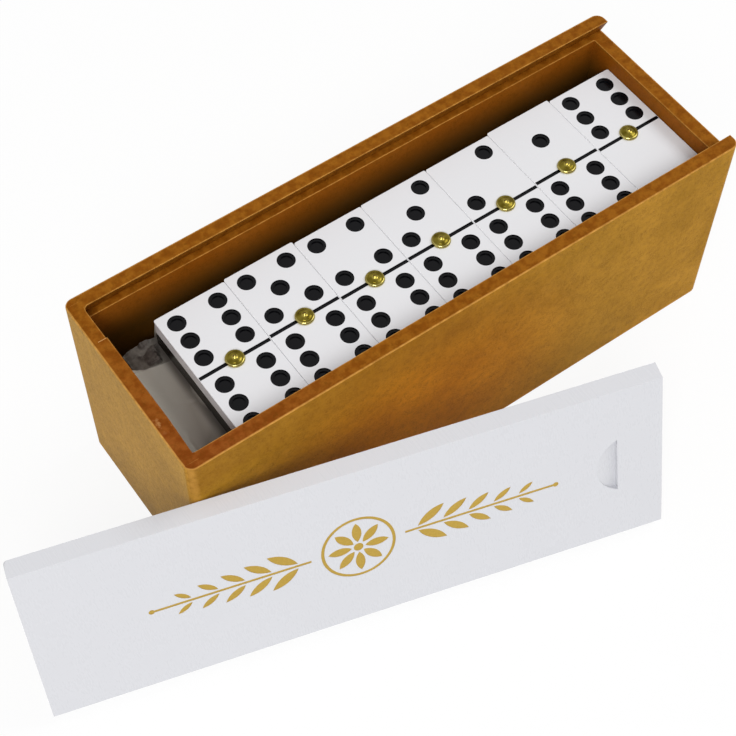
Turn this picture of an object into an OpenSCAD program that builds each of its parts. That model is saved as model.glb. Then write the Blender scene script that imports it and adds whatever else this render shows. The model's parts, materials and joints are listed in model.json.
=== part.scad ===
/* [Tiles] */
// Width of one tile
tile_w = 24.7; // [22:0.1:30]
// Length of one tile
tile_l = 50.2; // [48:0.2:60]
// Thickness of the white face layer
face_t = 5; // [3.5:0.1:7]
// Thickness of the dark back layer
back_t = 6.2; // [3:0.1:8]
// Radius of the tile's upright corners
tile_corner_r = 0.9; // [0.5:0.1:2]
// Gap between neighbouring tiles
tile_gap = 0.1; // [0.05:0.05:0.5]
// Tiles in one row
row_n = 7; // [7:1:7]
// Radius of the rounded edges round a tile's two broad sides
tile_edge_r = 0.2; // [0.1:0.1:1]

/* [Pips] */
// Diameter of a pip
pip_d = 5.8; // [4.3:0.1:6]
// Depth of a pip's step
pip_depth = 0.35; // [0.2:0.05:0.6]
// Diameter of the deeper round in a pip
pip_core_d = 4; // [2:0.1:4.2]
// Depth of the deeper round below the face
pip_core_depth = 0.8; // [0.6:0.05:1.2]
// Distance of the outer pips from the tile's middle line
pip_side = 7.12; // [6:0.1:8]
// Distance between pips along the tile
pip_pitch = 7.36; // [6.4:0.1:7.8]
// Distance from the dividing line to the nearest row of pips
pip_near = 5.55; // [4.8:0.1:6]
// Width of the dividing line
divider_w = 1.25; // [0.4:0.05:1.6]
// Depth of the dividing line
divider_depth = 0.4; // [0.2:0.05:0.8]
// Distance from the dividing line's ends to the tile's sides
divider_end = 0.2; // [0.1:0.05:2]

/* [Pins] */
// Diameter of the pin's domed head
pin_head_d = 6.1; // [4.5:0.1:7]
// Height of the pin's head above the tile
pin_head_h = 1.8; // [0.8:0.1:2]
// Height of the upright edge round the pin's head
pin_rim_h = 0.6; // [0.2:0.1:0.7]
// Diameter of the pin's shank
pin_shank_d = 2; // [1.2:0.1:3]
// White material left under the pin's shank
pin_cover = 1; // [0.5:0.1:2]

/* [Box] */
// Thickness of the wall boards
wall_t = 4.8; // [4.4:0.2:8]
// Thickness of the bottom board
floor_t = 5; // [3:0.5:8]
// Depth of the rebates that join the boards
rebate_d = 2.4; // [1.2:0.2:3]
// Radius of the upright outer corners
corner_r = 3; // [1:0.5:4]
// Radius of the rounded rim and base edges
edge_r = 0.3; // [0.2:0.1:1]
// Room from the tops of the tiles to the rim
headroom = 12; // [10:0.5:20]
// Free length at the closed end of the row
end_gap = 16.75; // [12:0.25:30]
// Free width along the back of the row
side_gap = 8.2; // [4:0.2:14]
// Clearance of the row at the open end and the front wall
row_clear = 0.15; // [0.1:0.05:0.5]

/* [Lid] */
// Thickness of the sliding lid
lid_t = 5; // [4:0.2:8]
// Undercut of the groove in each side board
groove_d = 2.4; // [1.6:0.2:3]
// Clearance between the lid and its groove
lid_clear = 0.2; // [0.1:0.05:0.4]
// Play of the lid in the groove's height
lid_play = 0.9; // [0.2:0.1:1.2]
// Radius of the lid's corners at the closed end
lid_corner_r = 1.5; // [0.5:0.1:3]
// Length of the thumb notch along the lid
notch_l = 6.8; // [5:0.2:12]
// Width of the thumb notch across the lid
notch_w = 20; // [12:0.5:30]
// Depth of the thumb notch at its steep end
notch_depth = 1.8; // [0.8:0.1:3]
// Distance from the notch's steep end to the lid's open end
notch_inset = 14.8; // [8:0.2:30]
// Depth that the router leaves in the closed end at each groove
runout_d = 0.4; // [0.2:0.1:1]
// Length of that router mark across the box
runout_l = 12.8; // [6:0.2:20]

/* [Leaning lid] */
// Lean of the lid from upright
lean = 19.5; // [12:0.5:26]
// Turn of the lid against the front of the box
yaw = 15.9; // [8:0.1:24]
// Length of the lid that reaches past the corner it leans on
overhang = 56; // [30:1:90]
// Gap between the leaning lid and the box
lean_gap = 0.3; // [0.2:0.1:1]

/* [Ornament] */
// Depth of the foil's bed in the lid
foil_bed = 0.3; // [0.15:0.05:0.6]
// Thickness of the gold foil
foil_t = 0.15; // [0.05:0.05:0.3]
// Outer diameter of the middle medallion's ring
ring_d = 23; // [18:0.5:30]
// Width of the medallion's ring
ring_w = 1; // [0.6:0.1:1.6]
// Length of a petal in the medallion
petal_l = 7.4; // [5:0.1:8]
// Width of a petal as a share of its length
petal_slim = 0.4; // [0.2:0.05:0.45]
// Petals in the medallion
petal_n = 8; // [6:1:8]
// Length of the longest leaf on the sprays
leaf_l = 10.5; // [7:0.5:13]
// Share of its length that the outermost leaf loses
leaf_taper = 0.45; // [0.2:0.05:0.6]
// Width of a leaf as a share of its length
leaf_slim = 0.3; // [0.2:0.05:0.4]
// Angle between a leaf and the stem
leaf_angle = 34; // [25:1:50]
// Leaves on each side of a spray's stem
leaf_n = 5; // [3:1:6]
// Length of a spray's stem
stem_l = 48; // [36:1:54]
// Width of a spray's stem
stem_w = 0.9; // [0.6:0.1:1.4]

/* [Packet] */
// Layers of tiles in the wrapped packet
layer_n = 3; // [3:1:3]
// Thickness of the wrap over the tiles
wrap_t = 1.6; // [1:0.1:3]
// Height of the folded wrap under the tiles
wrap_under = 7.2; // [2:0.2:20]
// Clearance between the wrap and the walls
wrap_clear = 0.5; // [0.3:0.1:1.5]
// Clearance between the wrapped tiles and the wrap
wrap_fit = 0.1; // [0.05:0.05:0.3]
// Width of the slanting folds at the wrap's ends
wrap_fold = 5; // [2:0.5:8]

/* [Hidden] */
$fn = 48;
// How far a cut runs past the surface that it opens
over = 1;

tile_t = face_t + back_t;
pitch = tile_w + tile_gap;
pin_shank_l = face_t - pin_cover;
row_l = row_n * pitch - tile_gap;
inner_l = row_l + row_clear + end_gap;
inner_w = tile_l + side_gap;
lip_h = lid_t + lid_play;
box_l = inner_l + 2 * wall_t;
box_w = inner_w + 2 * wall_t;
layer_h = tile_t + pin_head_h;
packet_h = wrap_under + layer_n * layer_h + wrap_t;
tile_z = floor_t + packet_h;
box_h = tile_z + tile_t + headroom;
ledge_z = box_h - lip_h;

// Values of the top row's far and near halves, from the closed end to the open end
far_pips = [6, 5, 4, 3, 2, 1, 6];
near_pips = [6, 6, 6, 6, 6, 6, 0];
// How far each tile of the top row lies from the row's line
stagger = [0.35, 0.95, 0.1, 0.25, 0.05, 0.8, 0];
row_x = inner_l / 2 - row_clear - row_l + tile_w / 2;
row_y = -inner_w / 2 + row_clear + tile_l / 2;

// The remaining values, one list of far and near halves for each wrapped layer
wrapped = [
    [[5, 5], [5, 4], [5, 3], [5, 2], [5, 1], [5, 0], [4, 4]],
    [[4, 3], [4, 2], [4, 1], [4, 0], [3, 3], [3, 2], [3, 1]],
    [[3, 0], [2, 2], [2, 1], [2, 0], [1, 1], [1, 0], [0, 0]]
];

lid_w = inner_w - 3 * lid_clear;
lid_bevel = groove_d * lid_t / lip_h;
lid_l = box_l - wall_t - lid_clear;

tile_names = [for (i = [0:row_n - 1]) str("tile_", far_pips[i], "_", near_pips[i])];
layer_names = [for (i = [1:layer_n]) str("packed_row_", i)];

wood = [0.66, 0.41, 0.13];
ivory = [0.93, 0.93, 0.95];
ebony = [0.13, 0.11, 0.1];
brass = [0.72, 0.58, 0.2];
gold = [0.77, 0.64, 0.31];
film = [0.62, 0.62, 0.6];

// A block centred on X and Y that stands on z = 0
module block(l, w, h) {
    translate([-l / 2, -w / 2, 0]) cube([l, w, h]);
}

// A rectangle centred on the origin with round corners
module round_rect(l, w, r) {
    union() {
        square([l - 2 * r, w], center = true);
        square([l, w - 2 * r], center = true);
        for (x = [-1, 1], y = [-1, 1])
            translate([x * (l / 2 - r), y * (w / 2 - r)]) circle(r = r);
    }
}

// The corner that rounding with radius r takes off a square edge at the origin
module edge_waste(r) {
    difference() {
        translate([-r, -r]) square(2 * r);
        translate([-r, -r]) circle(r = r);
    }
}

// Upright block with the rounded corners of the box
module box_plan() {
    linear_extrude(box_h) round_rect(box_l, box_w, corner_r);
}

// A bevelled board, its narrow face up at z = 0, from x = 0 to l, round at its left corners
module bevel_board(l, top_w, low_w, t, r, extra) {
    intersection() {
        rotate([90, 0, 90]) linear_extrude(l) polygon([
            [-low_w / 2, -t], [low_w / 2, -t], [top_w / 2, 0], [top_w / 2, extra],
            [-top_w / 2, extra], [-top_w / 2, 0]
        ]);
        translate([0, 0, -t]) linear_extrude(t + extra) union() {
            translate([l / 2 + r / 2, 0]) square([l - r, low_w], center = true);
            translate([r, 0]) square([2 * r, low_w - 2 * r], center = true);
            for (y = [-1, 1]) translate([r, y * (low_w / 2 - r)]) circle(r = r);
        }
    }
}

// Space of the lid's groove through the open end
module groove_space() {
    translate([-inner_l / 2, 0, box_h])
        bevel_board(inner_l + 2 * wall_t, inner_w, inner_w + 2 * groove_d, lip_h,
            lid_corner_r - lid_clear, over);
}

// Space that an end board fills between the side boards, h high
module end_space(side, h) {
    translate([side * (inner_l / 2 + wall_t / 2), 0, 0]) block(wall_t, inner_w + 2 * rebate_d, h);
}

// Space that the bottom board fills, reaching extra below it
module bottom_space(extra) {
    translate([0, 0, -extra]) block(inner_l + 2 * rebate_d, inner_w + 2 * rebate_d, floor_t + extra);
}

// The side board on the front or the back, side = -1 or 1
module side_board(side) {
    color(wood) intersection() {
        box_plan();
        difference() {
            rotate([90, 0, 90]) translate([0, 0, -box_l / 2]) linear_extrude(box_l) difference() {
                translate([side > 0 ? inner_w / 2 : -inner_w / 2 - wall_t, 0]) square([wall_t, box_h]);
                translate([side * box_w / 2, box_h]) mirror([side > 0 ? 0 : 1, 0]) edge_waste(edge_r);
                translate([side * box_w / 2, 0]) mirror([side > 0 ? 0 : 1, 0]) mirror([0, 1])
                    edge_waste(edge_r);
            }
            groove_space();
            end_space(-1, box_h + over);
            end_space(1, ledge_z);
            bottom_space(over);
        }
    }
}

// An end board of height h, side = -1 or 1, its outer top and bottom edges round
module end_board(side, h) {
    color(wood) intersection() {
        box_plan();
        difference() {
            rotate([90, 0, 0]) translate([0, 0, -inner_w / 2 - rebate_d])
                linear_extrude(inner_w + 2 * rebate_d) difference() {
                    translate([side > 0 ? inner_l / 2 : -inner_l / 2 - wall_t, 0]) square([wall_t, h]);
                    translate([side * box_l / 2, h]) mirror([side > 0 ? 0 : 1, 0]) edge_waste(edge_r);
                    translate([side * box_l / 2, 0]) mirror([side > 0 ? 0 : 1, 0]) mirror([0, 1])
                        edge_waste(edge_r);
                }
            bottom_space(over);
            if (side < 0) runout_marks();
        }
    }
}

// Shallow router marks in the closed end at both grooves
module runout_marks() {
    for (y = [-1, 1])
        translate([-inner_l / 2 - runout_d, y * (inner_w / 2 - runout_l / 2) - runout_l / 2, ledge_z])
            cube([2 * runout_d, runout_l, lip_h + over]);
}

module side_front() side_board(-1);
module side_back() side_board(1);
module end_closed() end_board(-1, box_h);
module end_open() end_board(1, ledge_z);
module bottom() {
    color(wood) bottom_space(0);
}

// A leaf from the origin along +X, made by two arcs
module leaf(l, w) {
    r = (l * l / 4 + w * w / 4) / w;
    translate([l / 2, 0]) intersection() {
        translate([0, r - w / 2]) circle(r = r);
        translate([0, w / 2 - r]) circle(r = r);
    }
}

// The round medallion in the middle of the lid
module medallion() {
    difference() {
        circle(d = ring_d);
        circle(d = ring_d - 2 * ring_w);
    }
    circle(d = 3 * ring_w);
    for (i = [0:petal_n - 1])
        rotate(i * 360 / petal_n) translate([2 * ring_w, 0]) leaf(petal_l, petal_l * petal_slim);
}

// A spray along +X: a stem with pairs of leaves that shrink outwards and a diamond tip
module spray() {
    translate([0, -stem_w / 2]) square([stem_l, stem_w]);
    for (i = [0:leaf_n - 1], side = [-1, 1]) {
        l = leaf_l * (1 - leaf_taper * i / (leaf_n - 1));
        translate([stem_l * (i + 0.5) / (leaf_n + 1), side * stem_w]) rotate(side * leaf_angle)
            leaf(l, l * leaf_slim);
    }
    translate([stem_l, 0]) circle(d = 2 * stem_w);
}

// Outline of the whole ornament on the lid's face
module ornament_outline() {
    translate([lid_l / 2, 0]) {
        medallion();
        for (a = [0, 180]) rotate(a) translate([ring_d / 2 + 3 * ring_w, 0]) spray();
    }
}

// Scoop of the thumb notch: a ramp with a round rim, its steep end towards the open end
module notch() {
    rim_r = (notch_w * notch_w / 4 + notch_l * notch_l) / (2 * notch_l);
    translate([lid_l - notch_inset, 0, 0]) intersection() {
        translate([0, notch_w, 0]) rotate([90, 0, 0]) linear_extrude(2 * notch_w)
            polygon([[0, -notch_depth], [0, over], [-notch_l, over], [-notch_l, 0]]);
        translate([rim_r - notch_l, 0, -notch_depth - over])
            cylinder(r = rim_r, h = notch_depth + 2 * over);
    }
}

// Carries a piece from the flat lid's own frame to the lid that leans on the box
module leaning() {
    away = (-box_l / 2 + corner_r) * sin(yaw) + (-box_w / 2 + corner_r) * cos(yaw) - corner_r - lean_gap
        - (lid_w + lid_bevel) * sin(lean) - lid_t * cos(lean);
    along = (-box_l / 2 + corner_r) * cos(yaw) - (-box_w / 2 + corner_r) * sin(yaw) - overhang;
    lift = lid_bevel * cos(lean) + lid_t * sin(lean);
    translate([along * cos(yaw) + away * sin(yaw), away * cos(yaw) - along * sin(yaw), lift])
        rotate([0, 0, -yaw]) rotate([90 - lean, 0, 0]) translate([0, lid_w / 2, 0]) children();
}

module lid() {
    color(ivory) leaning() difference() {
        bevel_board(lid_l, lid_w, lid_w + 2 * lid_bevel, lid_t, lid_corner_r, 0);
        notch();
        translate([0, 0, -foil_bed]) linear_extrude(foil_bed + over) ornament_outline();
    }
}

module lid_ornament() {
    color(gold) leaning() translate([0, 0, -foil_bed]) linear_extrude(foil_t) ornament_outline();
}

// Pip centres for the value v of one half, as steps across and along it
function pip_steps(v) =
    v == 0 ? [] :
    v == 1 ? [[0, 0]] :
    v == 2 ? [[1, 1], [-1, -1]] :
    v == 3 ? [[1, 1], [0, 0], [-1, -1]] :
    v == 4 ? [[1, 1], [-1, 1], [1, -1], [-1, -1]] :
    v == 5 ? [[1, 1], [-1, 1], [0, 0], [1, -1], [-1, -1]] :
    [[1, 1], [-1, 1], [1, 0], [-1, 0], [1, -1], [-1, -1]];

// Places its children at each pip of a half, side = 1 for the far half
module at_pips(v, side) {
    for (p = pip_steps(v))
        translate([p[0] * pip_side, side * (pip_near + pip_pitch) + p[1] * pip_pitch, 0]) children();
}

// A layer of a tile from z = -t to its rounded broad side at z = 0
module tile_layer(t) {
    intersection() {
        translate([0, 0, -t]) linear_extrude(t) round_rect(tile_w, tile_l, tile_corner_r);
        rotate([90, 0, 0]) linear_extrude(2 * tile_l, center = true) round_top(tile_w, t);
        rotate([90, 0, 90]) linear_extrude(2 * tile_l, center = true) round_top(tile_l, t);
    }
}

// Section of a layer, w wide and t thick, with round upper corners
module round_top(w, t) {
    difference() {
        translate([-w / 2, -t]) square([w, t]);
        for (side = [0, 1]) mirror([side, 0]) translate([w / 2, 0]) edge_waste(tile_edge_r);
    }
}

// White layer of a tile, its face up at z = 0
module tile_face(far, near) {
    difference() {
        tile_layer(face_t);
        for (half = [[far, 1], [near, -1]]) at_pips(half[0], half[1]) {
            translate([0, 0, -pip_depth]) cylinder(d = pip_d, h = pip_depth + over);
            translate([0, 0, -pip_core_depth]) cylinder(d = pip_core_d, h = pip_core_depth + over);
        }
        translate([0, 0, -divider_depth]) block(tile_w - 2 * divider_end, divider_w, divider_depth + over);
        translate([0, 0, -pin_shank_l]) cylinder(d = pin_shank_d, h = pin_shank_l + over);
    }
}

// Dark layer of a tile, its top against the white layer
module tile_back() {
    translate([0, 0, -tile_t]) mirror([0, 0, 1]) tile_layer(back_t);
}

// Brass pin with its domed head on the tile's face
module tile_pin() {
    dome_h = pin_head_h - pin_rim_h;
    dome_r = (pin_head_d * pin_head_d / 4 + dome_h * dome_h) / (2 * dome_h);
    intersection() {
        translate([0, 0, pin_head_h - dome_r]) sphere(r = dome_r);
        cylinder(d = pin_head_d, h = pin_head_h);
    }
    translate([0, 0, -pin_shank_l]) cylinder(d = pin_shank_d, h = pin_shank_l);
}

// Puts a piece of the i-th tile of the top row in its place
module in_row(i) {
    translate([row_x + i * pitch, row_y + stagger[i], tile_z + tile_t]) children();
}

// Puts a piece of the i-th tile of a wrapped layer in its place
module in_packet(layer, i) {
    translate([(i - (row_n - 1) / 2) * pitch, 0, floor_t + wrap_under + tile_t + layer * layer_h])
        children();
}

// Soft wrap folded round the packed rows, with slanting folds at both ends
module packing_wrap() {
    l = inner_l - 2 * wrap_clear;
    w = inner_w - 2 * wrap_clear;
    color(film) translate([0, 0, floor_t]) difference() {
        rotate([90, 0, 0]) translate([0, 0, -w / 2]) linear_extrude(w) polygon([
            [-l / 2 + wrap_fold, 0], [l / 2 - wrap_fold, 0], [l / 2, wrap_fold], [l / 2, packet_h],
            [-l / 2, packet_h], [-l / 2, wrap_fold]
        ]);
        translate([0, 0, wrap_under])
            block(row_l + 2 * wrap_fit, tile_l + 2 * wrap_fit, layer_n * layer_h);
    }
}

side_front();
side_back();
end_closed();
end_open();
bottom();
lid();
lid_ornament();
packing_wrap();
for (i = [0:row_n - 1]) {
    color(ivory) in_row(i) tile_face(far_pips[i], near_pips[i]);
    color(ebony) in_row(i) tile_back();
    color(brass) in_row(i) tile_pin();
}
for (k = [0:layer_n - 1]) {
    color(ivory) for (i = [0:row_n - 1])
            in_packet(k, i) tile_face(wrapped[k][i][0], wrapped[k][i][1]);
    color(ebony) for (i = [0:row_n - 1]) in_packet(k, i) tile_back();
    color(brass) for (i = [0:row_n - 1]) in_packet(k, i) tile_pin();
}
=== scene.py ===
"""Looks of the domino storage box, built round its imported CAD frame.

Places are in the part's own frame: the origin lies under the middle of the box, +X points to the end
where the lid slides out, +Y across the box and +Z up. Lengths are metres. The shapes of the pieces are
worked out in millimetres, and turned into metres where each piece is made.
"""

import json
import math

import bpy
import numpy as np
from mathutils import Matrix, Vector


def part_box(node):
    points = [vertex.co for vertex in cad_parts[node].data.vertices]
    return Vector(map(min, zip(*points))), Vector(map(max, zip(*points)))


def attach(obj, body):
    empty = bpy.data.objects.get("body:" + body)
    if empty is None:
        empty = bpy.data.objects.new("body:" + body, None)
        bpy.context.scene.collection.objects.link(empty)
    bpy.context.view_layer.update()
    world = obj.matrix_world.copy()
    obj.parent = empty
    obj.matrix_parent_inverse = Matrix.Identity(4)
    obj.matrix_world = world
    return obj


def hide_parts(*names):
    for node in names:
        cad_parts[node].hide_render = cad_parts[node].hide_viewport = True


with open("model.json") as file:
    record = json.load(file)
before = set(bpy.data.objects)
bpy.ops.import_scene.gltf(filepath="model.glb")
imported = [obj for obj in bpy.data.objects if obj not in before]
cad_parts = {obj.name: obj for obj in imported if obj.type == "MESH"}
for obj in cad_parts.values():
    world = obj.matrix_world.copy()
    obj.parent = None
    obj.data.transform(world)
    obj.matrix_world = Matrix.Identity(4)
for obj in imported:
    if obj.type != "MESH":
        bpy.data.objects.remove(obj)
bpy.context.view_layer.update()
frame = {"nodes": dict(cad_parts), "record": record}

MM = 0.001
TINY = 1e-6
finishes = {}


def in_mm(length):
    """A length of the frame in millimetres, to the nearest micrometre."""
    return round(length / MM, 3)


# The box's boards, in millimetres, from the frame
side_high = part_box("side_back")[1]
base_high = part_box("bottom")[1]
end_low, end_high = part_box("end_closed")
HALF_L = in_mm(side_high.x)
HALF_W = in_mm(side_high.y)
BOX_H = in_mm(side_high.z)
WALL = in_mm(end_high.x - end_low.x)
FLOOR = in_mm(base_high.z)
REBATE = in_mm(base_high.y - side_high.y) + WALL
LEDGE_H = in_mm(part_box("end_open")[1].z)
INNER_L = HALF_L - WALL
INNER_W = HALF_W - WALL
JOINT_Y = INNER_W + REBATE

# The boards' cuts and rounds, in millimetres, as the CAD has them or finer
CORNER_R = 3.0
CORNER_X = HALF_L - CORNER_R
CORNER_Y = HALF_W - CORNER_R
OUTER_ARRIS = 0.3
INNER_ARRIS = 0.15
GROOVE = 2.4
GROOVE_END_R = 1.3
RUNOUT_DEPTH = 0.4
RUNOUT_FROM = 16.4
OPENING_R = 1.6
FACE_LEVELS = (20.0, 40.0, 55.0, 65.0)
RIM_ROWS = np.array([0.06, 0.5, 0.94])
LIP_ANGLE = math.atan2(BOX_H - LEDGE_H, GROOVE)
LIP_TANGENT = INNER_ARRIS / math.tan(LIP_ANGLE / 2)
LIP_ROUND = LIP_TANGENT * math.sin(LIP_ANGLE)

# The pins' heads, in millimetres
PIN_HEAD_H = 1.8
PIN_R = 3.05
PIN_DOME_R = 2.45
PIN_CHANNEL_R = 2.1
PIN_TURNS = 72

# Points along the sides of the film's ring
FILM_TOP = 200
FILM_BASE = 30
FILM_SIDE = 32

# The film's round edges and its form in the gap at the closed end, in millimetres. It starts to sink at
# GAP_FROM from the box's middle, and its flap's edge has its bend at (FLAP_BEND_X, FLAP_BEND_Y).
FILM_ROUND = 1.4
GAP_FROM = 75.0
GAP_FULL = 77.2
FILM_SINK = 3.05
FLAP_BEND_X = -85.6
FLAP_BEND_Y = 16.5
NOTCH_DEPTH = 14.0

# The camera, fitted to the box's edges in the photograph: metres, degrees and millimetres
CAMERA_PLACE = (-0.188986, -0.234697, 0.464673)
CAMERA_TURN = (32.641259, -0.571811, -35.561346)
CAMERA_LENS = 80.75
CAMERA_SENSOR = 36.0

# The lamps, in metres
LAMP_AIM = (0, 0, 0.05)
LAMP_SIZE = (0.9, 0.9)


# Camera and studio

def add_camera():
    """Camera at the photograph's viewing angle, about 0.55 m off, on an 81 mm lens."""
    data = bpy.data.cameras.new("camera")
    data.lens = CAMERA_LENS
    data.sensor_width = CAMERA_SENSOR
    data.clip_start = 0.01
    data.clip_end = 20.0
    camera = bpy.data.objects.new("camera", data)
    camera.location = CAMERA_PLACE
    camera.rotation_euler = tuple(math.radians(a) for a in CAMERA_TURN)
    bpy.context.scene.collection.objects.link(camera)
    bpy.context.scene.camera = camera


def add_lamp(name, place, aim, size, power):
    """A soft white lamp of a size at place, which faces aim."""
    data = bpy.data.lights.new(name, "AREA")
    data.shape = "RECTANGLE"
    data.size, data.size_y = size
    data.energy = power
    lamp = bpy.data.objects.new(name, data)
    lamp.location = place
    way = np.array(aim, float) - np.array(place, float)
    pitch = math.acos(-way[2] / np.linalg.norm(way))
    lamp.rotation_euler = (pitch, 0.0, math.atan2(way[1], way[0]) - math.pi / 2)
    bpy.context.scene.collection.objects.link(lamp)


def set_sockets(tree, made, values):
    """Sets a node's sockets to numbers, or links them to other sockets."""
    for key, value in values.items():
        if isinstance(value, bpy.types.NodeSocket):
            tree.links.new(value, made.inputs[key])
        else:
            made.inputs[key].default_value = value


def node(tree, kind, values=None, **settings):
    """A new shader node, with its settings made and its sockets set."""
    made = tree.nodes.new(kind)
    for name, value in settings.items():
        setattr(made, name, value)
    set_sockets(tree, made, values or {})
    return made


def combine(tree, operation, *values):
    """Result of a math operation on numbers or sockets."""
    return node(tree, "ShaderNodeMath", dict(enumerate(values)), operation=operation).outputs[0]


def seen_directly(tree):
    """A mask that is 1 for camera, mirror and glass rays, which see the pale background itself."""
    path = node(tree, "ShaderNodeLightPath").outputs
    mirror = combine(tree, "MAXIMUM", path["Is Camera Ray"], path["Is Glossy Ray"])
    return combine(tree, "MAXIMUM", mirror, path["Is Transmission Ray"])


def add_world(level):
    """Plain soft light from all round, and white where it is seen directly."""
    world = bpy.data.worlds.new("studio")
    bpy.context.scene.world = world
    world.use_nodes = True
    tree = world.node_tree
    tree.nodes.clear()
    soft = node(tree, "ShaderNodeBackground", {"Color": (1.0, 1.0, 1.0, 1.0), "Strength": level})
    white = node(tree, "ShaderNodeBackground", {"Color": (1.0, 1.0, 1.0, 1.0), "Strength": 1.0})
    mix = node(tree, "ShaderNodeMixShader", {0: seen_directly(tree), 1: soft.outputs[0],
                                             2: white.outputs[0]})
    out = node(tree, "ShaderNodeOutputWorld")
    tree.links.new(mix.outputs[0], out.inputs["Surface"])


def add_floor():
    """A wide pale floor under the box, white where it is seen, that keeps the box's soft shadow."""
    half, level = 3.0, -0.0002
    mesh = bpy.data.meshes.new("floor")
    mesh.from_pydata([(-half, -half, level), (half, -half, level),
                      (half, half, level), (-half, half, level)], [], [(0, 1, 2, 3)])
    floor = bpy.data.objects.new("floor", mesh)
    bpy.context.scene.collection.objects.link(floor)
    material = bpy.data.materials.new("pale_floor")
    material.use_nodes = True
    tree = material.node_tree
    tree.nodes.clear()
    matt = node(tree, "ShaderNodeBsdfDiffuse", {"Color": (0.93, 0.93, 0.93, 1.0)})
    glow = node(tree, "ShaderNodeEmission", {"Color": (1.0, 1.0, 1.0, 1.0), "Strength": 1.0})
    share = combine(tree, "MULTIPLY", seen_directly(tree), 0.9)
    mix = node(tree, "ShaderNodeMixShader", {0: share, 1: matt.outputs[0], 2: glow.outputs[0]})
    out = node(tree, "ShaderNodeOutputMaterial")
    tree.links.new(mix.outputs[0], out.inputs["Surface"])
    mesh.materials.append(material)


# Meshes

def outward(points, faces):
    """The faces as given, or all turned round where the volume that they enclose is negative."""
    volume = 0.0
    for face in faces:
        a, rest = points[face[:, 0]], face[:, 1:]
        for i in range(rest.shape[1] - 1):
            volume += np.einsum("ij,ij->i", a, np.cross(points[rest[:, i]], points[rest[:, i + 1]])).sum()
    return faces if volume > 0 else [face[:, ::-1] for face in faces]


def welded(points, quads, values):
    """Joins the points that coincide, and drops the quads that this closes to a line or a point."""
    keys = np.round(points / 1e-7).astype(np.int64)
    _, first, same = np.unique(keys, axis=0, return_index=True, return_inverse=True)
    quads = same.ravel()[quads]
    twice = quads == np.roll(quads, -1, axis=1)
    count = twice.sum(axis=1)
    whole = quads[count == 0]
    threes = quads[count == 1][~twice[count == 1]].reshape(-1, 3)
    crossed = (whole[:, 0] == whole[:, 2]) | (whole[:, 1] == whole[:, 3])
    return points[first], [whole[~crossed], threes], {k: v[first] for k, v in values.items()}


def add_piece(name, points, quads, values, body, slot_name, nodes, sharp=35.0):
    """Makes a mesh piece of welded quads, with its point values as attributes, that rides on body and
    replaces CAD nodes. Edges sharper than sharp degrees stay sharp in its shading."""
    points, faces, values = welded(points, quads, values)
    faces = outward(points, faces)
    mesh = bpy.data.meshes.new(name)
    mesh.from_pydata(points.tolist(), [], faces[0].tolist() + faces[1].tolist())
    for key, value in values.items():
        mesh.attributes.new(key, "FLOAT", "POINT").data.foreach_set("value", value.astype(np.float32))
    mesh.shade_smooth()
    mesh.set_sharp_from_angle(angle=math.radians(sharp))
    piece = bpy.data.objects.new(name, mesh)
    bpy.context.scene.collection.objects.link(piece)
    even = piece.modifiers.new("even_shading", "WEIGHTED_NORMAL")
    even.keep_sharp = True
    mesh.materials.append(finishes[slot_name])
    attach(piece, body)
    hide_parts(*nodes)


def tube_quads(stations, ring):
    """Quads of a tube numbered station by station and closed round its ring."""
    a = np.arange(stations * ring).reshape(stations, ring)
    b = np.roll(a, -1, axis=1)
    return np.stack([a[:-1], b[:-1], b[1:], a[1:]], axis=-1).reshape(-1, 4)


def end_quads(stations, half, ring):
    """Quads across both ends of a wall, from its k-th outer point to its k-th inner point."""
    k = np.arange(half - 1)
    first = np.stack([k, ring - 1 - k, ring - 2 - k, k + 1], axis=-1)
    last = (first + (stations - 1) * ring)[:, ::-1]
    return np.concatenate([first, last])


# Boards

def set_back(z, top):
    """How far a quarter circle sets the outer face back near its base and its top edge, at height z."""
    drop = np.clip(np.maximum(OUTER_ARRIS - z, z - top + OUTER_ARRIS), 0, OUTER_ARRIS)
    return OUTER_ARRIS - np.sqrt(OUTER_ARRIS ** 2 - drop ** 2)


def walk_corner(share, back, y_end):
    """Point of the plan outline at a corner, set back by back, at a share of its way. The way goes from
    the side's straight part round a quarter circle about (CORNER_X, CORNER_Y), then along the end to
    y_end."""
    radius = CORNER_R - back
    arc = radius * np.arccos(np.clip((y_end - CORNER_Y) / radius, 0, 1))
    gone = share * (arc + np.maximum(CORNER_Y - y_end, 0))
    turn = np.minimum(gone / radius, math.pi / 2)
    y = CORNER_Y + radius * np.cos(turn) - np.maximum(gone - radius * math.pi / 2, 0)
    return CORNER_X + radius * np.sin(turn), y


def lip_depth(z):
    """Depth of the groove's slanting side behind the inner face at height z: a straight line down to the
    ledge, and a small round at the rim that touches both."""
    across = np.sqrt(np.maximum(INNER_ARRIS ** 2 - (z - BOX_H + INNER_ARRIS) ** 2, 0))
    return np.where(z > BOX_H - LIP_ROUND, LIP_TANGENT - across, (BOX_H - z) / math.tan(LIP_ANGLE))


def corner_fill(gone):
    """How far the round corner of the opening at the back stands in, at a distance gone from its end."""
    left = OPENING_R - np.clip(gone, 0, OPENING_R)
    return OPENING_R - np.sqrt(OPENING_R ** 2 - left ** 2)


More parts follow.
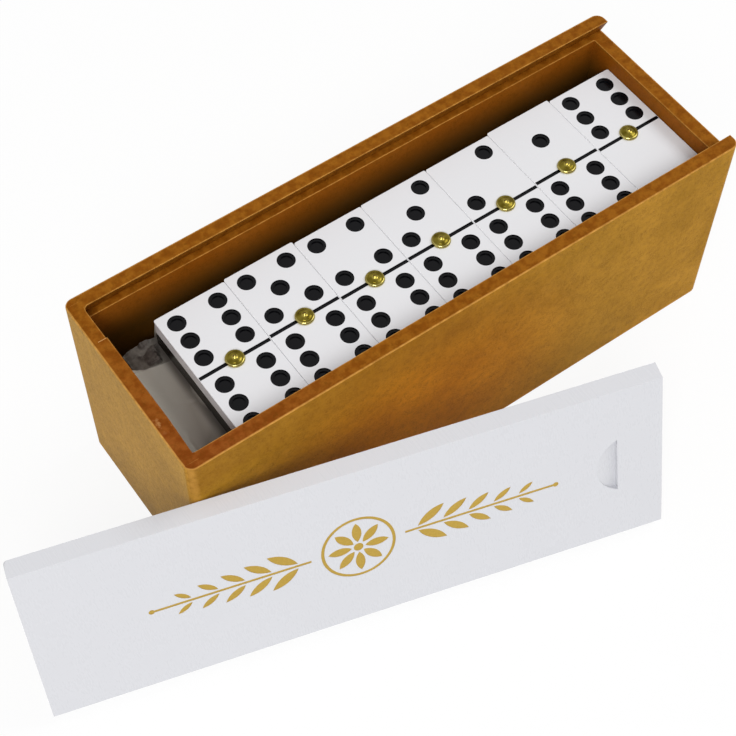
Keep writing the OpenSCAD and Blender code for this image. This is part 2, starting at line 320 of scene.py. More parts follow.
def add_wall(name, outer, inner, masks, nodes):
    """A board as a tube: at each station its ring goes up the outer points, over the rim and down the
    inner points. A mask has a value on the outer points, on the inner points and over the rim."""
    stations, half = outer.shape[:2]
    top = outer[:, -1:] + (inner[:, -1:] - outer[:, -1:]) * RIM_ROWS[None, :, None]
    points = np.concatenate([outer, top, inner[:, ::-1]], axis=1)
    ring = points.shape[1]
    values = {}
    for key, (on_outer, on_inner, over) in masks.items():
        out = np.broadcast_to(on_outer, (stations, half))
        into = np.broadcast_to(on_inner, (stations, half))[:, ::-1]
        crown = np.full((stations, len(RIM_ROWS)), over)
        values[key] = np.concatenate([out, crown, into], axis=1).ravel()
    quads = np.concatenate([tube_quads(stations, ring), end_quads(stations, half, ring)])
    add_piece(name, points.reshape(-1, 3) * MM, quads, values, "box", "stained_board", nodes)


def arris_levels(top):
    """Heights of the points on a board's outer round edges, at its base and at its top."""
    base = OUTER_ARRIS * (1 - np.cos(np.linspace(0, math.pi / 2, 7)))
    crown = top - OUTER_ARRIS * (1 - np.sin(np.linspace(0, math.pi / 2, 12)))
    return base, crown


def arris_masks(z, top):
    """Masks of a board's outer points at heights z: its round edges, and the way over to its rim."""
    rounding = ((z < OUTER_ARRIS) | (z > top - OUTER_ARRIS)).astype(float)
    crest = np.clip((z - top + OUTER_ARRIS) / OUTER_ARRIS, 0, 1)
    return rounding, crest


def side_levels():
    """Heights of a side board's points and the depth of its inner face there."""
    turn = np.linspace(0, math.pi / 2, 7)
    base, crown = arris_levels(BOX_H)
    edge = LEDGE_H - INNER_ARRIS + INNER_ARRIS * np.sin(turn)
    lip = np.concatenate([[LEDGE_H + 0.4, 73, BOX_H - 1.2, BOX_H - 0.5], crown])
    z = np.concatenate([base, [1.2, FLOOR, FLOOR, *FACE_LEVELS, LEDGE_H - 0.9, LEDGE_H - 0.3], edge,
                        [LEDGE_H, LEDGE_H, LEDGE_H], lip])
    depth = np.concatenate([np.full(len(base) + 2, REBATE), np.zeros(7), INNER_ARRIS * (1 - np.cos(turn)),
                            [0.4, GROOVE - 0.4, GROOVE], lip_depth(lip)])
    return z, depth


def add_side(name, side):
    """Side board on the front (side = -1) or the back (side = 1), with its groove for the lid."""
    z, depth = side_levels()
    root = int(np.argmax((depth >= GROOVE) & (z > FLOOR)))
    above = np.arange(len(z)) >= root
    near_ledge = z >= LEDGE_H - TINY
    back = set_back(z, BOX_H)
    share = np.linspace(0, 1, 13)[:, None]

    end_x, _ = walk_corner(1.0, back, JOINT_Y)
    x, y = walk_corner(share[::-1], back, JOINT_Y)
    closed_out = np.stack([-x, np.maximum(y, JOINT_Y)], axis=-1)
    closed_x = -CORNER_X - share[::-1] * (end_x - CORNER_X)
    closed_in = np.stack(np.broadcast_arrays(closed_x, JOINT_Y), axis=-1)

    curve = GROOVE_END_R * (1 - np.cos(np.linspace(0, math.pi / 2, 7)))
    xs = np.concatenate([[-INNER_L], -INNER_L + curve, np.linspace(-INNER_L + 12, INNER_L - 8, 12),
                         [INNER_L, INNER_L]])[:, None]
    span = np.ones(len(xs), bool)
    span[0] = span[-1] = False
    gone = np.minimum(xs + INNER_L, GROOVE_END_R)
    limit = GROOVE - GROOVE_END_R + np.sqrt(np.maximum(GROOVE_END_R ** 2 - (GROOVE_END_R - gone) ** 2, 0))
    fill = corner_fill(xs + INNER_L + RUNOUT_DEPTH) * (side > 0)
    cut = np.minimum(depth, limit)
    groove = np.where(z > LEDGE_H + TINY, cut - fill, np.minimum(depth, limit - fill))
    straight = np.where(near_ledge, groove, depth)
    straight = np.where(span[:, None], straight, REBATE)
    straight[-1] = np.where(above, depth, REBATE)
    side_out = np.stack(np.broadcast_arrays(xs, HALF_W - back), axis=-1)
    side_in = np.stack(np.broadcast_arrays(xs, INNER_W + straight), axis=-1)

    y_end = INNER_W + straight[-1]
    x, y = walk_corner(share, back, y_end)
    open_out = np.stack([x, y], axis=-1)
    last_x, _ = walk_corner(1.0, back, y_end)
    open_in = np.stack(np.broadcast_arrays(CORNER_X + share * (last_x - CORNER_X), y_end), axis=-1)

    outer = np.concatenate([closed_out, side_out, open_out])
    inner = np.concatenate([closed_in, side_in, open_in])
    level = np.broadcast_to(z, outer.shape[:2])
    outer = np.stack([outer[..., 0], side * outer[..., 1], level], axis=-1)
    inner = np.stack([inner[..., 0], side * inner[..., 1], level], axis=-1)

    rounding, crest = arris_masks(z, BOX_H)
    corner = np.zeros((len(outer), 1))
    # Painted highlight down the upright corners, strongest at the middle of each round.
    worn = 0.55 * np.sin(math.pi * share)
    corner[:len(share)] = corner[-len(share):] = worn
    at_ledge = (z > LEDGE_H - INNER_ARRIS) & (z < LEDGE_H + 0.01)
    ledge_edge = (at_ledge & (depth < INNER_ARRIS + 0.01)).astype(float)
    lip_edge = (z > BOX_H - LIP_ROUND).astype(float)
    # arris: light lines on the round outer edges, the upright corners and the inner top edges, partly
    # stain worn through and partly painted highlight.
    masks = {"arris": (np.maximum(rounding, corner), 0.8 * np.maximum(ledge_edge, lip_edge), 0.0),
             "rim": (crest, near_ledge.astype(float), 1.0),
             # inside: where the painted shade of the inner faces goes.
             "inside": (0.0, (~near_ledge).astype(float), 0.0)}
    add_wall(name + "_board", outer, inner, masks, [name])


def add_end(name, side, top):
    """End board at the closed end (side = -1) or the open end (side = 1), top high. At the closed end the
    router's pocket for the lid ends in a step at the back and slopes out at the front. The lists go from
    the back joint to the front one: ys are the points' y, cut is how deep the pocket is there, and soft
    is 1 where the inner edge is round."""
    base, crown = arris_levels(top)
    marks = [LEDGE_H, LEDGE_H] if side < 0 else [66.0, 68.0]
    z = np.concatenate([base, [1.2, FLOOR, FLOOR, *FACE_LEVELS, *marks, top - 1.0, top - 0.5], crown])
    back = set_back(z, top)
    inner_drop = np.clip(z - top + INNER_ARRIS, 0, INNER_ARRIS)
    rounded = INNER_ARRIS - np.sqrt(INNER_ARRIS ** 2 - inner_drop ** 2)
    rebate = np.where(np.arange(len(z)) < len(base) + 2, REBATE, 0.0)
    in_pocket = np.arange(len(z)) > len(base) + 7

    near = INNER_W - OPENING_R * np.array([0, 0.34, 0.45, 0.6, 0.8, 1])
    ys = [JOINT_Y, 31.4, 31.2, CORNER_Y, INNER_W, *near, RUNOUT_FROM, RUNOUT_FROM, 8, 0]
    pocket = np.maximum(RUNOUT_DEPTH - corner_fill(INNER_W - near), 0)
    cut = [0] * 5 + list(pocket) + [RUNOUT_DEPTH, 0, 0, 0]
    cut += [0] * 3 + [RUNOUT_DEPTH] * len(near) + [0] * 5
    soft = [0] * 5 + [1] * 10
    ys = np.array(ys + [-y for y in ys[-2::-1]])[:, None]
    cut = np.array(cut)[:, None] * (side < 0)
    soft = np.array(soft + soft[-2::-1])[:, None]

    radius = CORNER_R - back
    past = np.clip(np.abs(ys) - CORNER_Y, 0, None)
    x_out = np.where(np.abs(ys) > CORNER_Y, CORNER_X + np.sqrt(np.maximum(radius ** 2 - past ** 2, 0)),
                     HALF_L - back)
    x_in = INNER_L + rebate + cut * in_pocket + soft * rounded
    level = np.broadcast_to(z, x_out.shape)
    wide = np.broadcast_to(ys, x_out.shape)
    outer = np.stack([side * x_out, wide, level], axis=-1)
    inner = np.stack([side * x_in, wide, level], axis=-1)
    # How strong the light line on the inner top edge is, partly wear and partly painted highlight.
    worn = np.where((side > 0) | (ys > 15), 0.6, 0.15)
    rounding, crest = arris_masks(z, top)
    # arris: light lines on the round edges, partly stain worn through and partly painted highlight.
    masks = {"arris": (rounding, (z > top - INNER_ARRIS) * soft * worn, 0.0),
             "rim": (crest, (z > top - 1.0).astype(float), 1.0),
             # inside: where the painted shade of the inner faces goes.
             "inside": (0.0, (z < top - 0.6).astype(float), 0.0),
             # Where the painted sheen goes: the closed end's outer face.
             "painted_sheen": (float(side < 0), 0.0, 0.0)}
    add_wall(name + "_board", outer, inner, masks, [name])


# Pins and wrap

def add_pin(name, body, cad_node):
    """Brass pin head: a profile of radius and height turned about the pin's upright axis. From the middle
    it is a small point, a dome that falls with the square of the radius, a channel and a round bead."""
    low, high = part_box(cad_node)
    centre = (low + high) / 2
    radius = (high.x - low.x) / 2 / MM
    face = high.z / MM - PIN_HEAD_H
    r = np.concatenate([[0, 0.08, 0.16, 0.24, 0.32, 0.4, 0.5], np.linspace(0.62, 2.38, 19)])
    height = 0.93 + 0.36 * (1 - (r / PIN_DOME_R) ** 2) + 0.5 * np.exp(-(r / 0.5) ** 2)
    height = height - 0.1 * np.exp(-((r - PIN_CHANNEL_R) / 0.16) ** 2)
    turn = np.linspace(math.pi / 2, 0, 12)
    bead_r = PIN_DOME_R + (PIN_R - PIN_DOME_R) * np.cos(turn)
    bead_h = 0.28 + 0.65 * np.sin(turn)
    r = np.concatenate([r, bead_r, [PIN_R, 2.98, 2.8]]) * radius / PIN_R
    height = np.concatenate([height, bead_h, [0.08, 0.0, -0.1]])
    angle = np.linspace(0, 2 * math.pi, PIN_TURNS, endpoint=False)
    points = np.stack([centre.x / MM + r[:, None] * np.cos(angle),
                       centre.y / MM + r[:, None] * np.sin(angle),
                       np.broadcast_to(face + height[:, None], (len(r), PIN_TURNS))], axis=-1)
    closing = np.broadcast_to([[[centre.x / MM, centre.y / MM, face + height[-1]]]], (1, PIN_TURNS, 3))
    points = np.concatenate([points, closing])
    # Streaks round the pin: painted reflection as from a turned surface, partly wear.
    streaks = 0.5 + 0.3 * np.sin(2 * angle + 900 * centre.x) + 0.2 * np.sin(5 * angle + 1700 * centre.x)
    values = {"radius": np.repeat(np.append(r, 0), PIN_TURNS), "wear_and_highlight": np.tile(streaks, len(points))}
    add_piece(name, points.reshape(-1, 3) * MM, tube_quads(len(points), PIN_TURNS), values,
              body, "brass_pin", [cad_node], sharp=50.0)


def facets(points, cell, tilt, seed):
    """Crumpled relief: space in cubes of side cell, each with a random centre and a random tilted plane;
    the planes of the 27 cubes nearest a point are blended so steeply by nearness to their centres that
    each rules its own cell and meets its neighbours in a fold."""
    rng = np.random.default_rng(seed)
    scaled = (points - points.min(0)) / cell + 1
    home = np.floor(scaled).astype(int)
    size = tuple(home.max(0) + 2)
    centres = rng.uniform(0, 1, (*size, 3))
    planes = rng.normal(0, tilt * cell, (*size, 3))
    total, relief = np.zeros(len(points)), np.zeros(len(points))
    for step in np.ndindex(3, 3, 3):
        cube = home + np.array(step) - 1
        at = tuple(cube.T)
        offset = scaled - cube - centres[at]
        weight = np.exp(-14 * (offset ** 2).sum(-1)) + 1e-12
        total += weight
        relief += weight * (offset * planes[at]).sum(-1)
    return relief / total


def smooth_step(x, start, end):
    """0 before start, 1 after end, and a smooth cubic between."""
    t = np.clip((x - start) / (end - start), 0, 1)
    return t * t * (3 - 2 * t)


def rounded_block(xs, share, ring, half, round_r):
    """A block of half sizes half with round edges. Its ring of (y, z) is carried along xs, drawn in to
    the middle by share at the ends, and each point is set round_r off the nearest point of a smaller
    core. Gives the points and the ways in which they are set off."""
    block = np.stack([np.broadcast_to(xs[:, None], (len(xs), len(ring))),
                      share[:, None] * ring[:, 0], share[:, None] * ring[:, 1]], axis=-1).reshape(-1, 3)
    core = half - round_r
    inner = np.clip(block, -core, core)
    out = block - inner
    out /= np.maximum(np.linalg.norm(out, axis=1, keepdims=True), 1e-9)
    return inner + round_r * out, out


def film_block(half):
    """The film as a plain block of half sizes half, with its points densest over the gap: its points, the
    ways in which its round edges set them off, and its quads."""
    top_y = np.linspace(-half[1], half[1], FILM_TOP)
    side_z = np.linspace(half[2], -half[2], FILM_SIDE)[1:-1]
    base_y = np.linspace(half[1], -half[1], FILM_BASE)
    ring = np.concatenate([np.stack([top_y, np.full(FILM_TOP, half[2])], -1),
                           np.stack([np.full(len(side_z), half[1]), side_z], -1),
                           np.stack([base_y, np.full(FILM_BASE, -half[2])], -1),
                           np.stack([np.full(len(side_z), -half[1]), side_z[::-1]], -1)])
    caps = np.linspace(0, 1, 30)[:-1]
    along = np.concatenate([np.linspace(-half[0], -half[0] + 24, 80),
                            np.linspace(-half[0] + 25, half[0] - 9, 110),
                            np.linspace(half[0] - 8, half[0], 16)])
    xs = np.concatenate([np.full(len(caps), -half[0]), along, np.full(len(caps), half[0])])
    share = np.concatenate([caps, np.ones(len(along)), caps[::-1]])
    points, out = rounded_block(xs, share, ring, half, FILM_ROUND)
    return points, out, tube_quads(len(xs), len(ring))


def add_wrap():
    """Film round the packet: a block with round edges, pressed in by crumpled facets. In the gap at the
    closed end its top sinks in the folds of its end: a smooth flap whose edge lies along a bent line over
    a crumpled fold, with steep drops behind the fold and beside it."""
    low, high = (np.array(v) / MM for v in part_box("packing_wrap"))
    middle, half = (low + high) / 2, (high - low) / 2
    points, out, quads = film_block(half)
    x, y = points[:, 0] + middle[0], points[:, 1] + middle[1]
    above = smooth_step(out[:, 2], 0.5, 0.9)
    below = smooth_step(-out[:, 2], 0.5, 0.9)
    ends = smooth_step(np.abs(out[:, 0]), 0.5, 0.9)
    sides = smooth_step(np.abs(out[:, 1]), 0.5, 0.9)
    over_pin = np.exp(-(y / 5) ** 4)
    left = smooth_step(-x - 2.0 * over_pin, GAP_FROM, GAP_FULL - 0.4 * over_pin)
    edge = FLAP_BEND_Y + np.where(x < FLAP_BEND_X, 0.72, 0.18) * (FLAP_BEND_X - x)
    beyond = smooth_step(y - edge, -0.2, 0.2)
    folded = beyond * left
    flap = left * (1 - beyond) * above
    coarse = facets(points, 11.0, 0.30, 11)
    fine = facets(points, 4.5, 0.22, 12)
    crumple = np.abs(coarse) + 0.5 * np.abs(fine)
    upper = smooth_step(points[:, 2], 0.3 * half[2], 0.6 * half[2])
    still = left * (1 - beyond) * upper
    limit = np.maximum(1.25 * above * (1 - left) + 0.3 * below + 4.0 * ends + 2.6 * sides, 0.3)
    depth = limit * (1 - np.exp(-(0.15 + crumple) / limit)) * (1 - still)
    depth = depth * (1 - left * above)
    points = points - depth[:, None] * out

    creases = facets(points, 5.2, 0.34, 21) + 0.7 * facets(points, 1.9, 0.3, 22)
    corner = smooth_step(y - 16.3 - 0.25 * (FLAP_BEND_X - x), -0.1, 0.1) * smooth_step(-x, 85.6, 87.0)
    wave = 0.16 * facets(points, 9.0, 0.3, 23) * smooth_step(-x, 78.0, 80.5)
    sink = FILM_SINK - np.abs(wave) - folded * np.clip(0.3 + creases, 0, 1.5)
    sink = sink - 0.3 * corner * (1 - folded)
    sink = sink + 0.8 * np.exp(-((-x - 88.4) / 0.9) ** 2) * folded
    dropped = np.maximum(smooth_step(y, 25.3, 25.9), smooth_step(-x, 88.6, 90.2) * folded)
    sink = sink + NOTCH_DEPTH * dropped
    high_up = smooth_step(points[:, 2], half[2] - 9, half[2] - 2)
    points[:, 2] = -half[2] + (points[:, 2] + half[2]) * (1 - sink * left / (2 * half[2]))
    hem = np.exp(-((y - edge) / 0.22) ** 2) * left * above * smooth_step(-x, 80.5, 84.5)
    shown = 1 - 0.8 * smooth_step(dropped, 0.3, 0.8)
    # Dark over the fold in the gap, with painted shade in its creases.
    dark = folded * left * high_up * shown * np.maximum(0.95 + 0.3 * creases, 0.75)
    # How far over the flap the painted shade towards the front and the tiles has gone.
    towards_front = (12 - y) / 42 + 0.10 * (x + 95) - 0.70 + 0.13 * np.maximum(-88 - x, 0)
    # fold: painted shade in the crumples over the packet, and the dark of the fold in the gap.
    values = {"fold": np.clip(0.3 * crumple * (1 - left) + dark, 0, 1), "flap": flap,
              "hem": np.clip(hem + 0.45 * corner * (1 - folded) * left, 0, 1),
              "far": np.clip(towards_front, 0, 1) * flap,
              # A painted shadow strip on the film beside the tiles' side.
              "dip": smooth_step(x, -81.2, -77.8) * left * above}
    add_piece("packet_wrap", (points + middle) * MM, quads, values, "packet", "packing_film",
              ["packing_wrap"], sharp=28.0)


# Finishes

def group(name, inputs, outputs):
    """A shader node group with named sockets; gives the tree and its input node's sockets."""
    tree = bpy.data.node_groups.new(name, "ShaderNodeTree")
    for label, kind, value in inputs:
        socket = tree.interface.new_socket(label, in_out="INPUT", socket_type=kind)
        if value is not None:
            socket.default_value = value
    for label, kind in outputs:
        tree.interface.new_socket(label, in_out="OUTPUT", socket_type=kind)
    return tree, tree.nodes.new("NodeGroupInput").outputs


def finish_group(tree, results):
    """Links the group's results to its output sockets."""
    out = tree.nodes.new("NodeGroupOutput")
    for label, socket in results.items():
        tree.links.new(socket, out.inputs[label])


def multiply(tree, a, b):
    """Product of two values."""
    return combine(tree, "MULTIPLY", a, b)


def within(tree, value, middle, reach):
    """1 where the value lies within reach of middle."""
    return combine(tree, "COMPARE", value, middle, reach)


def ramp(tree, value, start, end, low=0.0, high=1.0, smooth=False):
    """The value carried from start and end to low and high, and held there beyond them."""
    way = "SMOOTHSTEP" if smooth else "LINEAR"
    return node(tree, "ShaderNodeMapRange", {0: value, 1: start, 2: end, 3: low, 4: high},
                interpolation_type=way).outputs[0]


def distance(tree, place, point):
    """How far the place lies from a point."""
    return node(tree, "ShaderNodeVectorMath", {0: place, 1: point}, operation="DISTANCE").outputs["Value"]


def noise(tree, vector, scale, detail):
    """Plain noise over a vector."""
    made = node(tree, "ShaderNodeTexNoise", {"Vector": vector, "Scale": scale, "Detail": detail})
    return made.outputs["Fac"]


def mixed(tree, share, first, second):
    """Colour between first and second, by share."""
    made = node(tree, "ShaderNodeMix", {0: share, 6: first, 7: second}, data_type="RGBA")
    return made.outputs[2]


def bumped(tree, height, strength, depth):
    """Normal from a height from 0 to 1 that stands for a depth in metres."""
    return node(tree, "ShaderNodeBump", {"Height": height, "Strength": strength,
                                         "Distance": depth}).outputs[0]


def mask(tree, name):
    """A piece's own point value, by its name."""
    return node(tree, "ShaderNodeAttribute", attribute_name=name).outputs["Fac"]


def use_group(tree, made, values):
    """Outputs of a placed node group with its sockets set."""
    return node(tree, "ShaderNodeGroup", values, node_tree=made).outputs


def make_mottle():
    """Mottle: fine speckle and broad patches, each from 0 to 1, and a height for the bump."""
    tree, given = group("mottle", [("Vector", "NodeSocketVector", None),
                                   ("Fine Scale", "NodeSocketFloat", 1500.0),
                                   ("Broad Scale", "NodeSocketFloat", 70.0)],
                        [("Fine", "NodeSocketFloat"), ("Broad", "NodeSocketFloat"),
                         ("Height", "NodeSocketFloat")])
    fine = node(tree, "ShaderNodeTexNoise", {"Vector": given["Vector"], "Scale": given["Fine Scale"],
                                             "Detail": 3.0, "Roughness": 0.6})
    broad = node(tree, "ShaderNodeTexNoise", {"Vector": given["Vector"], "Scale": given["Broad Scale"],
                                              "Detail": 4.0, "Roughness": 0.55})
    finish_group(tree, {"Fine": ramp(tree, fine.outputs["Fac"], 0.3, 0.7),
                        "Broad": ramp(tree, broad.outputs["Fac"], 0.3, 0.7),
                        "Height": fine.outputs["Fac"]})
    return tree


def make_handling():
    """Handling: faint scratches and dull spots of handled plastic, as a roughness to add and a height."""
    tree, given = group("handling", [("Vector", "NodeSocketVector", None),
                                     ("Roughness", "NodeSocketFloat", 0.25),
                                     ("Amount", "NodeSocketFloat", 0.1)],
                        [("Roughness", "NodeSocketFloat"), ("Height", "NodeSocketFloat")])
    turned = node(tree, "ShaderNodeMapping", {"Vector": given["Vector"], "Rotation": (0.0, 0.0, 0.7),
                                              "Scale": (2400.0, 110.0, 600.0)})
    lines = noise(tree, turned.outputs[0], 1.0, 2.0)
    patches = noise(tree, given["Vector"], 130.0, 4.0)
    spread = ramp(tree, multiply(tree, lines, patches), 0.15, 0.4, -0.5, 0.5)
    rough = combine(tree, "MULTIPLY_ADD", spread, given["Amount"], given["Roughness"])
    finish_group(tree, {"Roughness": rough, "Height": lines})
    return tree


def new_material(name):
    """An empty finish for a slot; gives its tree, its Principled shader and the object's coordinates."""
    material = bpy.data.materials.new(name + "_finish")
    finishes[name] = material
    material.use_nodes = True
    tree = material.node_tree
    tree.nodes.clear()
    shader = node(tree, "ShaderNodeBsdfPrincipled")
    out = node(tree, "ShaderNodeOutputMaterial")
    tree.links.new(shader.outputs[0], out.inputs["Surface"])
    place = node(tree, "ShaderNodeTexCoord").outputs["Object"]
    return tree, shader, place


# The boards' colours, of stain and of painted light and shade, and their places in metres. The browner
# band starts at the first value of BAND_X and BAND_Z, is full at the second, and lies on what is in front
# of
# BAND_Y.
BAND_COLOUR = (0.16, 0.050, 0.002, 1)
PAINTED_SHEEN_COLOUR = (0.60, 0.39, 0.10, 1)
INSIDE_SHADE_COLOUR = (0.26, 0.045, 0.003, 1)
DEEP_SHADE_COLOUR = (0.07, 0.030, 0.004, 1)
SPECKS = (0.12, 0.042, 0.002, 1)
WORN_AND_HIGHLIGHT_COLOUR = (0.70, 0.36, 0.085, 1)
SCRATCH_AND_HIGHLIGHT_COLOUR = (0.66, 0.36, 0.13, 1)
THICK_STAIN_AT = (-0.022, -0.034, 0.026)
NEAR_CORNER_AT = (-0.098, -0.032, 0.076)
SCRATCHES_AT = (-0.0964, -0.0165, 0.076)
STEP_HIGHLIGHT_X = -0.0967
BAND_X = (0.025, -0.020)
BAND_Z = (0.057, 0.067)
BAND_Y = -0.0325


def make_board(mottle):
    """Fibreboard under a light coat of orange-brown stain: speckle, blotches and broad patches, a browner
    band on the front and redder cut edges. Painted light and shade too: broken light lines on the round
    edges, partly stain worn through and partly painted highlight, a painted sheen on the closed end, and
    painted shade over the inside faces that deepens towards the bottom."""
    tree, shader, place = new_material("stained_board")
    marks = use_group(tree, mottle, {"Vector": place, "Fine Scale": 1500.0, "Broad Scale": 55.0})
    blots = use_group(tree, mottle, {"Vector": place, "Fine Scale": 420.0, "Broad Scale": 330.0})
    plain = mixed(tree, marks["Broad"], (0.39, 0.190, 0.010, 1), (0.54, 0.270, 0.024, 1))
    thick = mixed(tree, marks["Broad"], (0.51, 0.176, 0.004, 1), (0.66, 0.245, 0.008, 1))
    patch = ramp(tree, distance(tree, place, THICK_STAIN_AT), 0.078, 0.010, smooth=True)
    face = mixed(tree, patch, plain, thick)
    at = node(tree, "ShaderNodeSeparateXYZ", {0: place}).outputs
    along = ramp(tree, at["X"], *BAND_X, smooth=True)
    up = ramp(tree, at["Z"], *BAND_Z, smooth=True)
    front = combine(tree, "LESS_THAN", at["Y"], BAND_Y)
    band = multiply(tree, multiply(tree, along, up), front)
    # A darker, browner band along the top of the front's left part.
    face = mixed(tree, multiply(tree, band, 0.36), face, BAND_COLOUR)
    patchy = ramp(tree, blots["Broad"], 0.25, 0.75)
    cut = mixed(tree, patchy, (0.230, 0.068, 0.004, 1), (0.320, 0.112, 0.009, 1))
    red = mixed(tree, patchy, (0.205, 0.046, 0.005, 1), (0.285, 0.078, 0.012, 1))
    near = ramp(tree, distance(tree, place, NEAR_CORNER_AT), 0.060, 0.012)
    cut = mixed(tree, near, cut, red)
    colour = mixed(tree, mask(tree, "rim"), face, cut)
    # Painted sheen: a paler, hazier colour over the closed end's outer face.
    colour = mixed(tree, multiply(tree, mask(tree, "painted_sheen"), 0.26), colour, PAINTED_SHEEN_COLOUR)
    # Painted shade on the inside faces: darker over them all, and darker still towards the bottom.
    deep = ramp(tree, at["Z"], 0.0700, 0.054, smooth=True)
    inside = multiply(tree, mask(tree, "inside"), 0.75)
    colour = mixed(tree, inside, colour, INSIDE_SHADE_COLOUR)
    colour = mixed(tree, multiply(tree, deep, mask(tree, "inside")), colour, DEEP_SHADE_COLOUR)
    speck = multiply(tree, marks["Fine"], blots["Fine"])
    colour = mixed(tree, multiply(tree, speck, 0.62), colour, SPECKS)
    # Broken light lines on the round edges: partly stain worn through, partly painted highlight.
    broken = ramp(tree, blots["Fine"], 0.0, 1.0, 0.95, 0.35)
    wear_and_highlight = multiply(tree, multiply(tree, mask(tree, "arris"), broken), 0.8)
    colour = mixed(tree, wear_and_highlight, colour, WORN_AND_HIGHLIGHT_COLOUR)
    # Light marks on the closed end's rim: scratches, and a painted highlight line where a small step
    # would catch light.
    colour = mixed(tree, scratches_and_step_highlight(tree, place, blots["Fine"]), colour, SCRATCH_AND_HIGHLIGHT_COLOUR)
    rough = ramp(tree, marks["Fine"], 0.0, 1.0, 0.40, 0.55)
    set_sockets(tree, shader, {"Base Color": colour, "Roughness": rough, "Specular IOR Level": 0.03,
                               "Normal": bumped(tree, marks["Height"], 0.22, 0.0002)})


def scratches_and_step_highlight(tree, place, speckle):
    """Mask of the marks on the closed end's rim: a painted highlight line at the back, where a small step
    would catch light, and scratches in front.
    """
    at = node(tree, "ShaderNodeSeparateXYZ", {0: place}).outputs
    line = multiply(tree, within(tree, at["Y"], RUNOUT_FROM * MM, 0.00011),
                    within(tree, at["X"], STEP_HIGHLIGHT_X, 0.0015))
    line = multiply(tree, line, within(tree, at["Z"], BOX_H * MM, 0.0005))
    near = ramp(tree, distance(tree, place, SCRATCHES_AT), 0.0045, 0.0005)
    gaps = ramp(tree, speckle, 0.35, 0.1)
    scratches = multiply(tree, multiply(tree, near, 0.8), gaps)
    return combine(tree, "MAXIMUM", multiply(tree, line, 0.8), multiply(tree, scratches, 0.7))


# The part of a tile's face that holds cuts, in metres: half its size each way, and how deep a cut lies
CUT_HALF_X = 0.01218
CUT_HALF_Y = 0.0238
CUT_LEAST = 0.00003
CUT_MOST = 0.0011


def make_tile_white(handling):
    """White plastic of the tiles, with black in everything cut below the face. The tiles stand at an even
    pitch, so what is left of a point's x over that pitch gives its place in its own tile."""
    tree, shader, place = new_material("tile_white")
    low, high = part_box("tile_6_6_face")
    parts = node(tree, "ShaderNodeSeparateXYZ", {0: place}).outputs
    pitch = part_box("tile_5_6_face")[0].x - low.x
    first = (low.x + high.x) / 2
    moved = combine(tree, "ADD", parts["X"], pitch / 2 - first)
    cell = combine(tree, "FLOORED_MODULO", moved, pitch)
    x = within(tree, cell, pitch / 2, CUT_HALF_X)
    y = within(tree, parts["Y"], (low.y + high.y) / 2, CUT_HALF_Y)
    below = combine(tree, "LESS_THAN", parts["Z"], high.z - CUT_LEAST)
    above = combine(tree, "GREATER_THAN", parts["Z"], high.z - CUT_MOST)
    level = multiply(tree, below, above)
    normal = node(tree, "ShaderNodeNewGeometry").outputs["Normal"]
    up = node(tree, "ShaderNodeSeparateXYZ", {0: normal}).outputs["Z"]
    floor = combine(tree, "GREATER_THAN", up, 0.95)
    middle = combine(tree, "MAXIMUM", x, floor)
    cut = multiply(tree, multiply(tree, middle, y), level)
    worn = use_group(tree, handling, {"Vector": place, "Roughness": 0.16, "Amount": 0.1})
    colour = mixed(tree, cut, (0.78, 0.78, 0.80, 1), (0.003, 0.003, 0.004, 1))
    set_sockets(tree, shader, {"Base Color": colour, "Roughness": worn["Roughness"],
                               "Normal": bumped(tree, worn["Height"], 0.03, 0.00005),
                               "Specular IOR Level": 0.12})


# Colours of the plain plastics
LID_WHITE = (0.675, 0.68, 0.71, 1)
TILE_DARK = (0.010, 0.008, 0.006, 1)


def make_plain_plastic(name, handling, colour, roughness, specular):
    """Smooth plastic of one colour with faint handling marks."""
    tree, shader, place = new_material(name)
    worn = use_group(tree, handling, {"Vector": place, "Roughness": roughness, "Amount": 0.1})
    cloud = noise(tree, place, 60.0, 2.0)
    shade = tuple(0.988 * c for c in colour[:3]) + (1.0,)
    set_sockets(tree, shader, {"Base Color": mixed(tree, cloud, colour, shade),
                               "Roughness": worn["Roughness"], "Specular IOR Level": specular})


def make_brass():
    """Turned brass: fine rings round the pin's axis and fine spots, with painted light in its colour: a
    painted highlight in the middle and on the bead, streaks of painted reflection down the dome, partly
    wear, and a darker dome between, partly tarnish and partly painted dark reflection."""
    tree, shader, place = new_material("brass_pin")
    radius = mask(tree, "radius")
    rings = node(tree, "ShaderNodeTexNoise", {"W": multiply(tree, radius, 9.0), "Scale": 1.0,
                                              "Detail": 2.0}, noise_dimensions="1D").outputs["Fac"]
    spots = noise(tree, place, 700.0, 2.0)
    # Painted highlight for the middle of the dome.
    bright = mixed(tree, spots, (0.58, 0.48, 0.12, 1), (0.28, 0.21, 0.03, 1))
    # The dome's darker colour: partly tarnish, partly painted dark reflection; the streaks over it are
    # painted reflection, partly wear.
    dull = mixed(tree, spots, (0.13, 0.096, 0.009, 1), (0.06, 0.042, 0.003, 1))
    dull = mixed(tree, multiply(tree, mask(tree, "wear_and_highlight"), 0.6), dull, (0.27, 0.215, 0.035, 1))
    colour = mixed(tree, ramp(tree, radius, 0.3, 1.3, smooth=True), bright, dull)
    # Painted highlight on the bead.
    bead = ramp(tree, radius, 2.5, 2.95)
    colour = mixed(tree, bead, colour, (0.50, 0.43, 0.15, 1))
    rough = ramp(tree, spots, 0.0, 1.0, 0.09, 0.16)
    set_sockets(tree, shader, {"Base Color": colour, "Metallic": 1.0, "Roughness": rough,
                               "Normal": bumped(tree, rings, 0.25, 0.00008)})


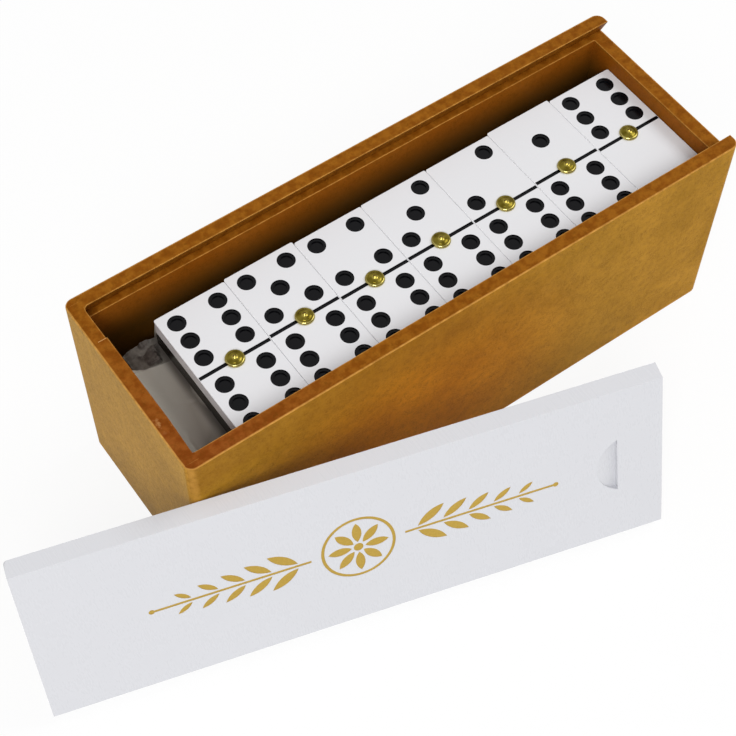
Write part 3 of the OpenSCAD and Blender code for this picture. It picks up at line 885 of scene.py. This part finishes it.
def make_foil():
    """Gold foil pressed into the lid: broken metal sheen with fine unevenness."""
    tree, shader, place = new_material("gold_foil")
    grain = noise(tree, place, 1800.0, 3.0)
    colour = mixed(tree, grain, (0.62, 0.42, 0.08, 1), (0.45, 0.29, 0.05, 1))
    rough = ramp(tree, grain, 0.0, 1.0, 0.34, 0.55)
    set_sockets(tree, shader, {"Base Color": colour, "Metallic": 0.75, "Roughness": rough,
                               "Normal": bumped(tree, grain, 0.35, 0.00012)})


def make_film(mottle):
    """Grey-white packing film, smooth over the flap, light along its hem, with a soft uneven gloss. Over
    the flap its colour is painted light near the closed end and painted shade towards the front and the
    tiles, with a painted shadow strip beside the tiles; it is dark over the fold in the gap, and has
    painted shade in its crumples."""
    tree, shader, place = new_material("packing_film")
    marks = use_group(tree, mottle, {"Vector": place, "Fine Scale": 900.0, "Broad Scale": 90.0})
    plain = mixed(tree, marks["Broad"], (0.62, 0.59, 0.51, 1), (0.70, 0.67, 0.59, 1))
    # Over the flap: painted light near the closed end, going over to painted shade towards the front and
    # the tiles.
    flap_lit_to_shaded = mixed(tree, mask(tree, "far"), (0.98, 0.98, 0.88, 1), (0.42, 0.38, 0.33, 1))
    colour = mixed(tree, mask(tree, "flap"), plain, flap_lit_to_shaded)
    # Dark over the fold in the gap, and painted shade in the crumples.
    fold_dark_and_crease_shade = mixed(tree, marks["Fine"], (0.075, 0.064, 0.056, 1), (0.175, 0.154, 0.138, 1))
    colour = mixed(tree, mask(tree, "fold"), colour, fold_dark_and_crease_shade)
    colour = mixed(tree, multiply(tree, mask(tree, "hem"), 0.75), colour, (0.88, 0.85, 0.77, 1))
    # Painted shadow beside the tiles' side, where the film meets them.
    colour = mixed(tree, multiply(tree, mask(tree, "dip"), 0.8), colour, (0.06, 0.054, 0.048, 1))
    rough = ramp(tree, marks["Fine"], 0.0, 1.0, 0.30, 0.45)
    set_sockets(tree, shader, {"Base Color": colour, "Roughness": rough, "Specular IOR Level": 0.1,
                               "Normal": bumped(tree, marks["Height"], 0.12, 0.0002)})


def dress(cad_node, slot_name):
    """Gives a CAD node that keeps its own mesh the finish of its slot."""
    target = frame["nodes"][cad_node]
    target.data.materials.clear()
    target.data.materials.append(finishes[slot_name])


def main():
    """Builds the studio, the finishes and the pieces."""
    bpy.context.scene.view_settings.view_transform = "Standard"
    add_camera()
    add_world(0.42)
    add_lamp("front_lamp", (-1.0, -1.1, 1.6), LAMP_AIM, LAMP_SIZE, 26.0)
    add_lamp("side_lamp", (1.3, -0.15, 1.6), LAMP_AIM, LAMP_SIZE, 12.0)
    add_floor()

    mottle, handling = make_mottle(), make_handling()
    make_board(mottle)
    make_tile_white(handling)
    make_plain_plastic("white_plastic", handling, LID_WHITE, 0.3, 0.3)
    make_plain_plastic("tile_dark", handling, TILE_DARK, 0.25, 0.08)
    make_brass()
    make_foil()
    make_film(mottle)

    add_side("side_front", -1)
    add_side("side_back", 1)
    add_end("end_closed", -1, BOX_H)
    add_end("end_open", 1, LEDGE_H)
    add_wrap()
    slots = {s["node"]: s["material_slot"] for s in frame["record"]["subparts"]}
    for body, members in frame["record"]["behaviour"]["bodies"].items():
        for name in members:
            if name.startswith("tile") and name.endswith("_pin"):
                add_pin(name.replace("_pin", "_pin_head"), body, name)
            elif not frame["nodes"][name].hide_render:
                dress(name, slots[name])


main()
